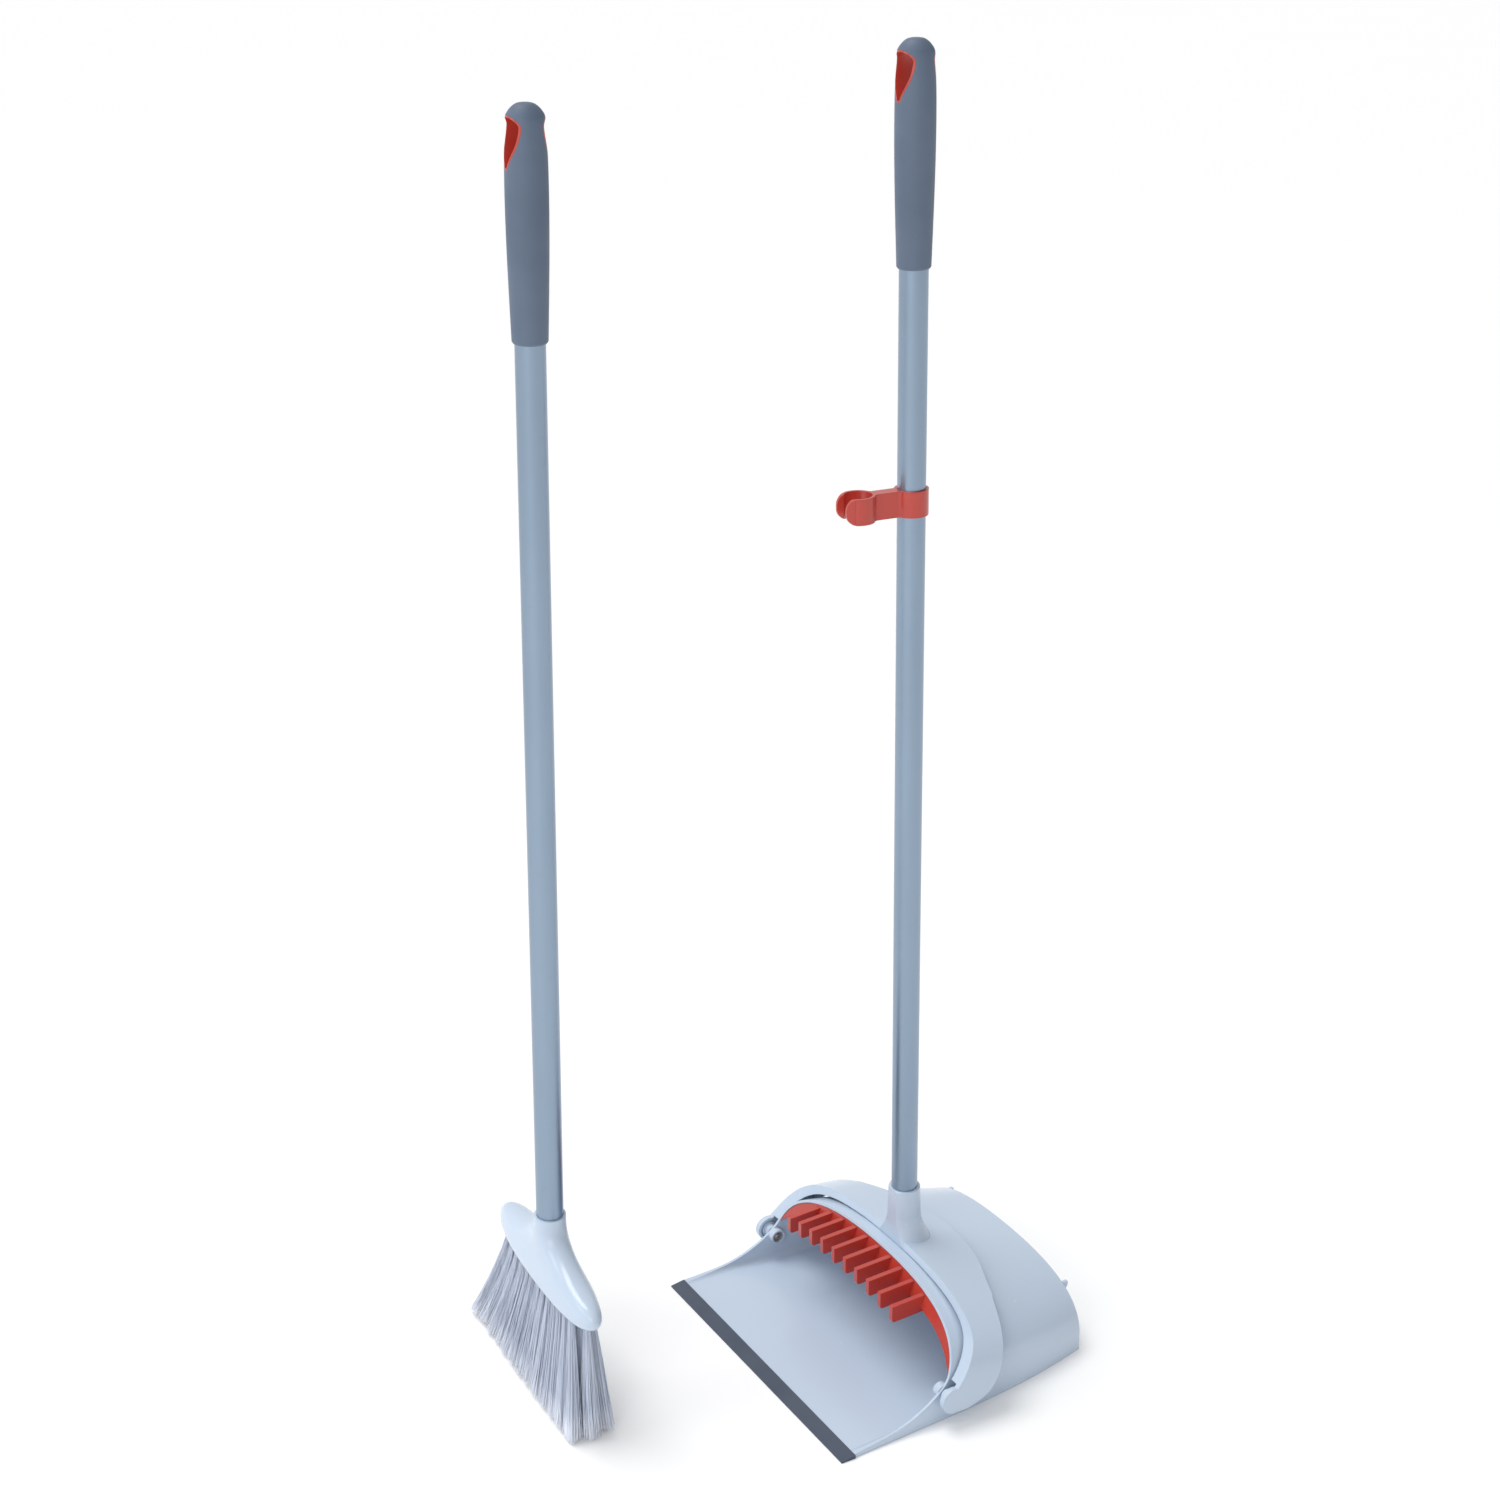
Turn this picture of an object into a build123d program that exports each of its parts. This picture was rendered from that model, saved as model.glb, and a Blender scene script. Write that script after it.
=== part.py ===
"""Upright dustpan and brush set: a hinged, hooded pan on a long handle, and its broom.

Millimetres.  The origin is the point on the floor under the pan's handle, +Z is up,
-Y is the pan's open side (its lip) and +X is the pan's right wall seen from behind the lip.
"""
from build123d import *
import math
import os

os.makedirs("parts", exist_ok=True)

# ---------------------------------------------------------------- driving dimensions
# Pan moulding
WALL = 2.2                      # wall and floor of the pan
LIP_Y = -139.0                  # front edge of the lip strip
REAR_Y = 95.0                   # outside of the rear wall
LIP_HALF_WIDTH = 129.2
REAR_HALF_WIDTH = 104.0
SIDE_BULGE = 32.0               # how far the side walls bow out towards the rear
HOOD_FRONT_Y = -25.0            # where the hood's rim crosses its crest
HOOD_CREST = 78.3               # outside of the hood at its rim
REAR_CREST = 57.7               # outside of the hood at the rear wall
FRONT_SHOULDER = 27.0           # height where the side walls start to curve over
REAR_SHOULDER = 12.0
HOOD_SQUARENESS = 0.68          # Bezier handle length of the arch, 0.55 is an ellipse
RIM_LEAN = 0.416                # the rim leans back this much per unit of height
TOE_DEPTH = 12.0                # front to back of the lip strip

# Hinge between pan and handle
PIVOT_Y = -45.4
PIVOT_Z = 23.0
STUB_RADIUS = 3.1
STUB_CLEARANCE = 0.05
BOSS_RADIUS = 6.2
BOSS_FACE_X = 116.4
RECESS_RADIUS = 4.7
RECESS_DEPTH = 3.0
STUB_END_X = BOSS_FACE_X + RECESS_DEPTH - 0.1   # a hair proud, so the washer turns freely
SCREW_RADIUS = 1.3
SCREW_LENGTH = 10.0
SCREW_HEAD_RADIUS = 2.8
SCREW_HEAD_HEIGHT = 1.7
WASHER_RADIUS = 4.2
WASHER_THICKNESS = 0.8
PLUG_LENGTH = 22.0              # plug in the lower end of each tube

# Yoke
YOKE_HALF_WIDTH = 136.0
YOKE_INNER_HALF_WIDTH = 125.3
YOKE_CREST = 81.0               # outside, at the front edge of the crest
YOKE_FRONT_CREST_Y = -8.5
YOKE_SHOULDER = 23.0
YOKE_SKIN = 2.4
YOKE_EAR_RADIUS = 10.0
EAR_PLATE_X = 131.0             # inner face of the ears, round the stubs
EAR_POCKET_RADIUS = 12.0
EAR_SHOULDER_RADIUS = 5.0
YOKE_SQUARENESS = 0.74
HOOD_GAP = 0.4                  # the yoke's crest stops this far above the hood

# Handles, the same for pan and broom
TUBE_RADIUS = 10.0
TUBE_WALL = 0.8
GRIP_LENGTH = 148.0
GRIP_SPIGOT = 45.0              # how far the grip's core reaches into the tube
GRIP_HEAD = 52.0                # the tube ends this far below the top of the grip
HANG_HALF_WIDTH = 9.4           # hanging hole
HANG_ARCH = 5.6                 # height of its arched top above its widest place
HANG_CENTRE = 13.8              # its widest place, below the top of the grip
HANG_TIP = 39.0                 # its lower end, below the top of the grip
HANG_TIP_RADIUS = 1.6
HANG_LINER = 1.1
CORE_LAP = 2.0                  # the core's head overlaps the liner's lower end
SPIGOT_WALL = 2.0

PAN_HANDLE_TOP = 981.0
PAN_LEAN = 1.0                  # degrees, forward
SOCKET_TOP = 122.0
SOCKET_FLOOR = 86.0

# Clip for the broom's handle
CLIP_Z = 663.0
CLIP_HEIGHT = 18.5
CLIP_REACH = 40.5               # tube axis to the middle of the jaws
CLIP_TURN = -8.0                # degrees, turned on the tube towards -X
CLIP_THICKNESS = 2.0

# Broom
BROOM_X = -56.0
BROOM_Y = -280.0
BROOM_LEAN = 1.45               # degrees, towards +X
BROOM_TURN = -2.8               # degrees about the vertical
BROOM_TOP = 954.0
BLOCK_UNDERSIDE = 103.0
BROOM_SOCKET_TOP = 157.0
BROOM_SOCKET_FLOOR = 123.0
TUFT_ROWS = 3
TUFTS_PER_ROW = 15
TUFT_PITCH = 9.6
TUFT_ROW_PITCH = 7.5
TUFT_HOLE_RADIUS = 2.2
TUFT_HOLE_DEPTH = 8.0
ANCHOR_HEIGHT = 2.0
FAN_HALF_LENGTH = 99.0          # bristles at the floor
FAN_SWEEP = -28.0               # the tips are swept sideways
FAN_ROW_PITCH = 12.8
FAN_SHIFT = 1.6                 # and backwards
FAN_CORNER = 3.0                # the outer rows are this much shorter at each end

# ---------------------------------------------------------------- frames of the two handles
lean = math.radians(PAN_LEAN)
pan_axis = Plane(origin=(0, 0, 0), x_dir=(1, 0, 0), z_dir=(0, -math.sin(lean), math.cos(lean)))
tilt = math.radians(BROOM_LEAN)
turn = math.radians(BROOM_TURN)
broom_axis = Plane(
    origin=(BROOM_X, BROOM_Y, 0),
    x_dir=(math.cos(turn) * math.cos(tilt), math.sin(turn), -math.cos(turn) * math.sin(tilt)),
    z_dir=(math.sin(tilt), 0, math.cos(tilt)),
)
broom_floor = Plane(origin=(BROOM_X, BROOM_Y, 0), x_dir=(math.cos(turn), math.sin(turn), 0), z_dir=(0, 0, 1))


def facing(axis, height=0.0):
    """Plane through a handle's axis that faces the user's side, its local y along the axis."""
    return Plane(origin=axis.origin + axis.z_dir * height, x_dir=axis.x_dir, z_dir=-axis.y_dir)


def spin_axis(axis):
    """The handle's own axis, to revolve about."""
    return Axis(axis.origin, axis.z_dir)


# ---------------------------------------------------------------- the pan's cross-sections
def half_width_at(y):
    """Outside half-width of the pan at floor level."""
    t = (y - LIP_Y) / (REAR_Y - LIP_Y)
    straight = LIP_HALF_WIDTH + (REAR_HALF_WIDTH - LIP_HALF_WIDTH) * t
    return straight + SIDE_BULGE * t * (1 - t) * (0.25 + t)


def crest_at(y):
    """Outside height of the hood over the pan's centre line."""
    slope = (REAR_CREST - HOOD_CREST) / (REAR_Y - HOOD_FRONT_Y)
    return HOOD_CREST + slope * (y - HOOD_FRONT_Y)


def shoulder_at(y):
    """Height where the side wall turns into the arch."""
    t = max(0.0, (y - HOOD_FRONT_Y) / (REAR_Y - HOOD_FRONT_Y))
    return FRONT_SHOULDER + (REAR_SHOULDER - FRONT_SHOULDER) * t


def arch(y, half_width, shoulder, crest, squareness, floor=0.0, corner=0.0):
    """Closed tunnel section on the plane Y = y, as a face."""
    reach = half_width * squareness
    rise = (crest - shoulder) * squareness
    with BuildSketch(Plane.XZ.offset(-y)) as section:
        with BuildLine():
            Line((-half_width, floor), (half_width, floor))
            Line((half_width, floor), (half_width, shoulder))
            Bezier((half_width, shoulder), (half_width, shoulder + rise), (reach, crest), (0, crest))
            Bezier((0, crest), (-reach, crest), (-half_width, shoulder + rise), (-half_width, shoulder))
            Line((-half_width, shoulder), (-half_width, floor))
        make_face()
        if corner:
            fillet(section.vertices().group_by(Axis.Z)[0], corner)
    return section.sketch


def hood_section(y, inset=0.0, corner=0.0):
    """The pan's tunnel section at y, moved inwards by inset; the outside one dips below the floor."""
    return arch(
        y,
        half_width_at(y) - inset,
        shoulder_at(y),
        crest_at(y) - inset,
        HOOD_SQUARENESS,
        floor=inset or -1.0,
        corner=corner,
    )


# Side view of everything in front of and above the pan's walls.
rim_foot = (PIVOT_Y + 4.0, 36.0)
rim_head = (PIVOT_Y + 4.0 + RIM_LEAN * 70.0, 106.0)
with BuildSketch(Plane.YZ) as open_front:
    with BuildLine():
        Spline(
            (LIP_Y, 2.4),
            (-112.0, 4.2),
            (-88.0, 7.4),
            (-64.0, 16.5),
            (-48.0, 27.5),
            rim_foot,
            tangents=((1, 0.02), (RIM_LEAN, 1)),
        )
        Polyline(rim_foot, rim_head, (LIP_Y - 20, 106.0), (LIP_Y - 20, 2.4), (LIP_Y, 2.4))
    make_face()

# ---------------------------------------------------------------- pan body
FOOT_X = 78.0
FOOT_THICKNESS = 2.6
FOOT_REACH = 5.0
FOOT_TOP = 45.5
LIP_STEP = 0.9                  # the strip's tongue slot is this thick
LIP_TONGUE = 2.6
pan_stations = (LIP_Y + TOE_DEPTH, -40.0, 30.0)

with BuildPart() as pan_body:
    loft(sections=[hood_section(y) for y in pan_stations + (REAR_Y,)])
    loft(
        sections=[hood_section(y, WALL, corner=5.0) for y in pan_stations + (REAR_Y - WALL,)],
        mode=Mode.SUBTRACT,
    )
    extrude(open_front.sketch, amount=200, both=True, mode=Mode.SUBTRACT)
    with BuildSketch(Plane.XY):
        Rectangle(400, 400)
    extrude(amount=-5, mode=Mode.SUBTRACT)
    rear_rim = pan_body.edges().filter_by_position(Axis.Y, REAR_Y - 0.01, REAR_Y + 0.01)
    fillet(rear_rim.group_by(Axis.Z)[1:], 1.2)
    # Bosses around the hinge stubs, with a recess for each screw's head
    for side in (1, -1):
        with BuildSketch(Plane.YZ.offset(side * BOSS_FACE_X)):
            with Locations((PIVOT_Y, PIVOT_Z)):
                Circle(BOSS_RADIUS)
        extrude(amount=side * (YOKE_INNER_HALF_WIDTH - 2.6 - BOSS_FACE_X))
        with BuildSketch(Plane.YZ.offset(side * BOSS_FACE_X)):
            with Locations((PIVOT_Y, PIVOT_Z)):
                Circle(RECESS_RADIUS)
        extrude(amount=side * RECESS_DEPTH, mode=Mode.SUBTRACT)
        with BuildSketch(Plane.YZ.offset(side * BOSS_FACE_X)):
            with Locations((PIVOT_Y, PIVOT_Z)):
                Circle(STUB_RADIUS + STUB_CLEARANCE)
        extrude(amount=side * 15, mode=Mode.SUBTRACT)
    # Tongue under the lip strip
    with BuildSketch(Plane.XY.offset(0.6)):
        with Locations((0, LIP_Y + TOE_DEPTH - LIP_TONGUE / 2)):
            Rectangle(2 * LIP_HALF_WIDTH - 6, LIP_TONGUE)
    extrude(amount=LIP_STEP)
    # Feet that the pan stands on when it is stored upright
    for x in (-FOOT_X, FOOT_X):
        with BuildSketch(Plane.YZ.offset(x - FOOT_THICKNESS / 2)):
            Polygon(
                (REAR_Y - 0.5, FOOT_TOP),
                (REAR_Y + FOOT_REACH, FOOT_TOP),
                (REAR_Y + FOOT_REACH, FOOT_TOP - 3.5),
                (REAR_Y - 0.5, FOOT_TOP - 11.5),
                align=None,
            )
        extrude(amount=FOOT_THICKNESS)

# ---------------------------------------------------------------- lip strip
with BuildPart() as lip_strip:
    with BuildSketch(Plane.YZ.offset(-LIP_HALF_WIDTH)):
        Polygon(
            (LIP_Y, 0.0),
            (LIP_Y + TOE_DEPTH, 0.0),
            (LIP_Y + TOE_DEPTH, 2.6),
            (LIP_Y + 0.6, 0.8),
            (LIP_Y, 0.4),
            align=None,
        )
    extrude(amount=2 * LIP_HALF_WIDTH)
    add(pan_body.part, mode=Mode.SUBTRACT)

# ---------------------------------------------------------------- comb
COMB_GAP = 0.25                 # all round, under the hood
COMB_THICKNESS = 2.6
COMB_SETBACK = 0.6              # behind the rim
COMB_DEPTH = 13.0               # of the crescent at its crown
COMB_TIP_X = 124.0              # where the crescent's lower edge runs out, beyond the walls
COMB_TIP_Z = 31.0
COMB_HAUNCH_X = 104.0           # steers the lower edge at its haunches
COMB_FALL = 6.0
COMB_CROWN_X = 74.0
TOOTH_COUNT = 10
TOOTH_PITCH = 16.4
TOOTH_ROW_X = -8.0              # middle of the row, off to one side by half a pitch
TOOTH_THICKNESS = 4.2
TOOTH_HEIGHT = 13.5
TOOTH_TIP_Y = -56.5
TOOTH_NOSE = 2.2
TOOTH_DROP = 2.6                # top of a tip, below the arch


def rim_y(z):
    """Where the leaning rim stands at height z."""
    return rim_foot[0] + RIM_LEAN * (z - rim_foot[1])


def arch_height(x):
    """Height of the hood's inside at its rim, x off the centre line."""
    span = half_width_at(HOOD_FRONT_Y) - WALL
    return FRONT_SHOULDER + (HOOD_CREST - WALL - FRONT_SHOULDER) * (1 - abs(x / span) ** 2.5) ** 0.4


with BuildPart() as comb_insert:
    loft(sections=[hood_section(y, WALL + COMB_GAP) for y in pan_stations])
    with BuildSketch(Plane.YZ) as plate_side:
        Polygon(
            (rim_y(20) + COMB_SETBACK, 20),
            (rim_y(100) + COMB_SETBACK, 100),
            (rim_y(100) + COMB_SETBACK + COMB_THICKNESS, 100),
            (rim_y(20) + COMB_SETBACK + COMB_THICKNESS, 20),
            align=None,
        )
    extrude(amount=200, both=True, mode=Mode.INTERSECT)
    with BuildSketch(Plane.XZ.offset(100)) as below_crescent:
        with BuildLine():
            crown = HOOD_CREST - WALL - COMB_DEPTH
            haunch = crown - COMB_FALL
            Bezier((-COMB_TIP_X, COMB_TIP_Z), (-COMB_HAUNCH_X, haunch), (-COMB_CROWN_X, crown), (0, crown))
            Bezier((0, crown), (COMB_CROWN_X, crown), (COMB_HAUNCH_X, haunch), (COMB_TIP_X, COMB_TIP_Z))
            Polyline((COMB_TIP_X, COMB_TIP_Z), (COMB_TIP_X, 0), (-COMB_TIP_X, 0), (-COMB_TIP_X, COMB_TIP_Z))
        make_face()
    extrude(amount=-200, mode=Mode.SUBTRACT)
    for number in range(TOOTH_COUNT):
        x = TOOTH_ROW_X + (number - (TOOTH_COUNT - 1) / 2) * TOOTH_PITCH
        top = arch_height(abs(x) + TOOTH_THICKNESS / 2)
        root_y = rim_y(top) + COMB_SETBACK + COMB_THICKNESS / 2
        with BuildSketch(Plane.YZ.offset(x - TOOTH_THICKNESS / 2)) as tooth:
            Polygon(
                (TOOTH_TIP_Y, top - TOOTH_DROP - TOOTH_HEIGHT),
                (root_y, top - TOOTH_HEIGHT - 1.2),
                (root_y, top - 1.2),
                (TOOTH_TIP_Y, top - TOOTH_DROP),
                align=None,
            )
            fillet(tooth.vertices().group_by(Axis.Y)[0], TOOTH_NOSE)
        extrude(amount=TOOTH_THICKNESS)

# ---------------------------------------------------------------- yoke
# Side view of the front edge, from the crest down, and of the rear edge, from the haunch down
YOKE_FRONT = ((-10.0, 83.0), (-13.5, 76.0), (-19.0, 62.0), (-28.0, 49.0), (-38.0, 37.0), (-47.0, 28.5))
YOKE_REAR = ((17.0, 68.5), (7.0, 58.0), (2.0, 47.7), (-3.0, 36.0), (-9.0, 26.0), (-17.0, 18.5), (-30.0, 13.6))
# Rear edge seen from above, from the centre line outwards
YOKE_APRON = ((0.0, 41.0), (31.0, 38.0), (55.0, 32.0), (75.0, 24.0), (95.0, 17.5), (110.0, 14.5))
SOCKET_CLEAR = 19.0             # radius left solid around the handle's socket
FLARE_TOP = 98.0                # the socket flares out into the crest from here down
FLARE_RADIUS = 20.0
FLARE_FRONT = 13.4              # the flare is cut flat this far in front of the axis
EAR_CLEAR = 6.5                 # radius left solid around each hinge stub
yoke_stations = (-62.0, 64.0)
pivot_line = Axis((0, PIVOT_Y, PIVOT_Z), (1, 0, 0))
pivot_plane = Plane(origin=(0, PIVOT_Y, PIVOT_Z), x_dir=(1, 0, 0), z_dir=(0, -1, 0))


def yoke_block(inset=0.0):
    """The yoke's outside before its inside is cut out, its faces moved inwards by inset."""
    with BuildPart() as block:
        sections = []
        for y in yoke_stations:
            crest = YOKE_CREST + crest_at(y) - crest_at(YOKE_FRONT_CREST_Y) - inset
            sections.append(arch(y, YOKE_HALF_WIDTH - inset, YOKE_SHOULDER, crest, YOKE_SQUARENESS, floor=-5.0))
        loft(sections=sections)
        with BuildSketch(Plane.YZ):
            with BuildLine():
                front = Spline(*[(y + inset, z) for y, z in YOKE_FRONT])
                rear = Spline(
                    *[(y - inset, z) for y, z in YOKE_REAR],
                    (PIVOT_Y, PIVOT_Z - YOKE_EAR_RADIUS + inset),
                    tangents=((-1, -0.5), (-1, 0)),
                )
                Line(front @ 1, rear @ 1)
                Polyline(rear @ 0, (64.0, 68.5), (64.0, 100.0), (-10.0 + inset, 100.0), front @ 0)
            make_face()
            with Locations((PIVOT_Y, PIVOT_Z)):
                Circle(YOKE_EAR_RADIUS - inset)
        extrude(amount=200, both=True, mode=Mode.INTERSECT)
        with BuildSketch(Plane.XY):
            with BuildLine():
                edge = [(x, y - inset) for x, y in YOKE_APRON]
                right = Spline(*edge, tangents=((1, 0), (1, -0.15)))
                left = Spline(*[(-x, y) for x, y in edge], tangents=((-1, 0), (-1, -0.15)))
                Polyline(right @ 1, (140.0, 12.0 - inset), (140.0, -80.0), (-140.0, -80.0),
                         (-140.0, 12.0 - inset), left @ 1)
            make_face()
        extrude(amount=200, both=True, mode=Mode.INTERSECT)
    return block.part


# The moulding is hollow underneath, except round the socket and the hinge stubs
with BuildPart() as yoke_pocket:
    add(yoke_block(YOKE_SKIN))
    with BuildSketch(Plane.XY):
        Circle(SOCKET_CLEAR)
    extrude(amount=120, mode=Mode.SUBTRACT)
    with BuildSketch(Plane.YZ):
        with Locations((PIVOT_Y, PIVOT_Z)):
            Circle(EAR_CLEAR)
    extrude(amount=200, both=True, mode=Mode.SUBTRACT)

with BuildPart() as yoke:
    add(yoke_block())
    add(yoke_pocket.part, mode=Mode.SUBTRACT)
    # Socket for the handle's tube, flared into the crest
    with BuildSketch(facing(pan_axis)):
        with BuildLine():
            Polyline((0, 76), (0, SOCKET_TOP), (11.5, SOCKET_TOP))
            ThreePointArc((11.5, SOCKET_TOP), (12.1, SOCKET_TOP - 0.25), (12.3, SOCKET_TOP - 0.9))
            Line((12.3, SOCKET_TOP - 0.9), (13.0, FLARE_TOP))
            Bezier((13.0, FLARE_TOP), (13.5, 89.0), (17.0, 83.0), (FLARE_RADIUS, 77.5))
            Polyline((FLARE_RADIUS, 77.5), (FLARE_RADIUS, 74), (0, 74), (0, 76))
        make_face()
    revolve(axis=spin_axis(pan_axis))
    with BuildSketch(Plane.XZ.offset(FLARE_FRONT)):
        Rectangle(80, 400)
    extrude(amount=40, mode=Mode.SUBTRACT)
    loft(
        sections=[
            arch(y, YOKE_INNER_HALF_WIDTH, YOKE_SHOULDER, crest_at(y) + HOOD_GAP, YOKE_SQUARENESS, floor=-6.0)
            for y in yoke_stations
        ],
        mode=Mode.SUBTRACT,
    )
    with BuildSketch(pan_axis.offset(SOCKET_FLOOR)):
        Circle(TUBE_RADIUS)
    extrude(amount=60, mode=Mode.SUBTRACT)
    # Plate ears with shouldered hinge stubs, with pilot holes for their screws
    for side in (1, -1):
        with BuildSketch(Plane.YZ.offset(side * (YOKE_INNER_HALF_WIDTH - 4))):
            with Locations((PIVOT_Y, PIVOT_Z)):
                Circle(EAR_POCKET_RADIUS)
        extrude(amount=side * (EAR_PLATE_X - YOKE_INNER_HALF_WIDTH + 4), mode=Mode.SUBTRACT)
        with BuildSketch(Plane.YZ.offset(side * YOKE_INNER_HALF_WIDTH)):
            with Locations((PIVOT_Y, PIVOT_Z)):
                Circle(EAR_SHOULDER_RADIUS)
        extrude(amount=side * (EAR_PLATE_X - YOKE_INNER_HALF_WIDTH + 1))
        with BuildSketch(Plane.YZ.offset(side * STUB_END_X)):
            with Locations((PIVOT_Y, PIVOT_Z)):
                Circle(STUB_RADIUS)
        extrude(amount=side * (EAR_PLATE_X + 1 - STUB_END_X))
        with BuildSketch(Plane.YZ.offset(side * STUB_END_X)):
            with Locations((PIVOT_Y, PIVOT_Z)):
                Circle(SCREW_RADIUS)
        extrude(amount=side * SCREW_LENGTH, mode=Mode.SUBTRACT)

# ---------------------------------------------------------------- hinge screws and washers
head_seat = STUB_END_X - WASHER_THICKNESS

with BuildPart() as pivot_washers:
    for side in (1, -1):
        with BuildSketch(Plane.YZ.offset(side * head_seat)):
            with Locations((PIVOT_Y, PIVOT_Z)):
                Circle(WASHER_RADIUS)
                Circle(SCREW_RADIUS + 0.2, mode=Mode.SUBTRACT)
        extrude(amount=side * WASHER_THICKNESS)

with BuildPart() as pivot_screws:
    for side in (1, -1):
        with BuildSketch(pivot_plane):
            with BuildLine():
                Polyline(
                    (side * (head_seat - SCREW_HEAD_HEIGHT), 0),
                    (side * (STUB_END_X + SCREW_LENGTH - 0.5), 0),
                    (side * (STUB_END_X + SCREW_LENGTH - 0.5), 0.6),
                    (side * (STUB_END_X + SCREW_LENGTH - 1.5), SCREW_RADIUS),
                    (side * head_seat, SCREW_RADIUS),
                    (side * head_seat, SCREW_HEAD_RADIUS),
                    (side * (head_seat - SCREW_HEAD_HEIGHT * 0.45), SCREW_HEAD_RADIUS),
                    (side * (head_seat - SCREW_HEAD_HEIGHT), SCREW_HEAD_RADIUS * 0.6),
                    close=True,
                )
            make_face()
        revolve(axis=pivot_line)
        with BuildSketch(Plane.YZ.offset(side * (head_seat - SCREW_HEAD_HEIGHT))):
            with Locations((PIVOT_Y, PIVOT_Z)):
                Rectangle(2.8, 0.6)
                Rectangle(0.6, 2.8)
        extrude(amount=side * 1.1, mode=Mode.SUBTRACT)


# ---------------------------------------------------------------- tubes, plugs and grips
def handle_tube(axis, start, end):
    """Aluminium tube from start to end along a handle's axis."""
    with BuildPart() as tube:
        with BuildSketch(axis.offset(start)):
            Circle(TUBE_RADIUS)
            Circle(TUBE_RADIUS - TUBE_WALL, mode=Mode.SUBTRACT)
        extrude(amount=end - start)
    return tube.part


def tube_plug(axis, start):
    """Hollow plug that stiffens the tube's lower end inside its socket."""
    with BuildPart() as plug:
        with BuildSketch(axis.offset(start)):
            Circle(TUBE_RADIUS - TUBE_WALL)
        extrude(amount=PLUG_LENGTH)
        with BuildSketch(axis.offset(start + 2.0)):
            Circle(TUBE_RADIUS - TUBE_WALL - SPIGOT_WALL)
        extrude(amount=PLUG_LENGTH, mode=Mode.SUBTRACT)
    return plug.part


def grip_envelope(axis, top):
    """Outside of a grip, solid: a long barrel, fullest above its middle, with a domed end."""
    foot = top - GRIP_LENGTH
    with BuildPart() as envelope:
        with BuildSketch(facing(axis)):
            with BuildLine():
                Spline(
                    (0, top),
                    (6.2, top - 0.9),
                    (11.3, top - 6.0),
                    (12.8, top - 17.0),
                    tangents=((1, 0), (0.06, -1)),
                )
                Spline(
                    (12.8, top - 17.0),
                    (13.7, top - 52.0),
                    (13.2, top - 95.0),
                    (11.7, foot + 1.2),
                    tangents=((0.06, -1), (-0.03, -1)),
                )
                Polyline((11.7, foot + 1.2), (10.9, foot), (0, foot), (0, top))
            make_face()
        revolve(axis=spin_axis(axis))
    return envelope.part


def hang_outline(axis, top, grow=0.0):
    """Teardrop of the hanging hole: a flat arch above, a point below."""
    side = HANG_HALF_WIDTH + grow
    arch_top = top - HANG_CENTRE + HANG_ARCH + grow
    middle = top - HANG_CENTRE
    point = top - HANG_TIP - grow
    flank = HANG_TIP_RADIUS + grow
    with BuildSketch(facing(axis)) as outline:
        with BuildLine():
            Bezier((side, middle), (side, middle + 0.6 * HANG_ARCH), (0.6 * side, arch_top), (0, arch_top))
            Bezier((0, arch_top), (-0.6 * side, arch_top), (-side, middle + 0.6 * HANG_ARCH), (-side, middle))
            Bezier((-side, middle), (-side, middle - 12), (-flank - 3.6, point + 9), (-flank, point + flank))
            ThreePointArc((-flank, point + flank), (0, point), (flank, point + flank))
            Bezier((flank, point + flank), (flank + 3.6, point + 9), (side, middle - 12), (side, middle))
        make_face()
    return outline.sketch


def grip_core(axis, top):
    """Hard core of a grip: a spigot in the tube, a head, and the liner of the hanging hole."""
    tube_end = top - GRIP_HEAD
    with BuildPart() as core:
        extrude(hang_outline(axis, top, HANG_LINER), amount=20, both=True)
        add(grip_envelope(axis, top), mode=Mode.INTERSECT)
        with BuildSketch(axis.offset(tube_end)):
            Circle(TUBE_RADIUS)
        extrude(amount=GRIP_HEAD - HANG_TIP + HANG_LINER + CORE_LAP)
        with BuildSketch(axis.offset(tube_end - GRIP_SPIGOT)):
            Circle(TUBE_RADIUS - TUBE_WALL)
        extrude(amount=GRIP_SPIGOT)
        with BuildSketch(axis.offset(tube_end - GRIP_SPIGOT - 1)):
            Circle(TUBE_RADIUS - TUBE_WALL - SPIGOT_WALL)
        extrude(amount=GRIP_SPIGOT + 1, mode=Mode.SUBTRACT)
        extrude(hang_outline(axis, top), amount=20, both=True, mode=Mode.SUBTRACT)
    return core.part


def grip_sleeve(axis, top):
    """Soft skin moulded over the core and over the end of the tube."""
    foot = top - GRIP_LENGTH
    with BuildPart() as sleeve:
        add(grip_envelope(axis, top))
        with BuildSketch(axis.offset(foot - 1)):
            Circle(TUBE_RADIUS)
        extrude(amount=GRIP_LENGTH + 1 - HANG_TIP + HANG_LINER + CORE_LAP, mode=Mode.SUBTRACT)
        extrude(hang_outline(axis, top, HANG_LINER), amount=20, both=True, mode=Mode.SUBTRACT)
    return sleeve.part


pan_tube = handle_tube(pan_axis, SOCKET_FLOOR, PAN_HANDLE_TOP - GRIP_HEAD)
pan_tube_plug = tube_plug(pan_axis, SOCKET_FLOOR)
pan_grip_core = grip_core(pan_axis, PAN_HANDLE_TOP)
pan_grip_sleeve = grip_sleeve(pan_axis, PAN_HANDLE_TOP)

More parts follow.
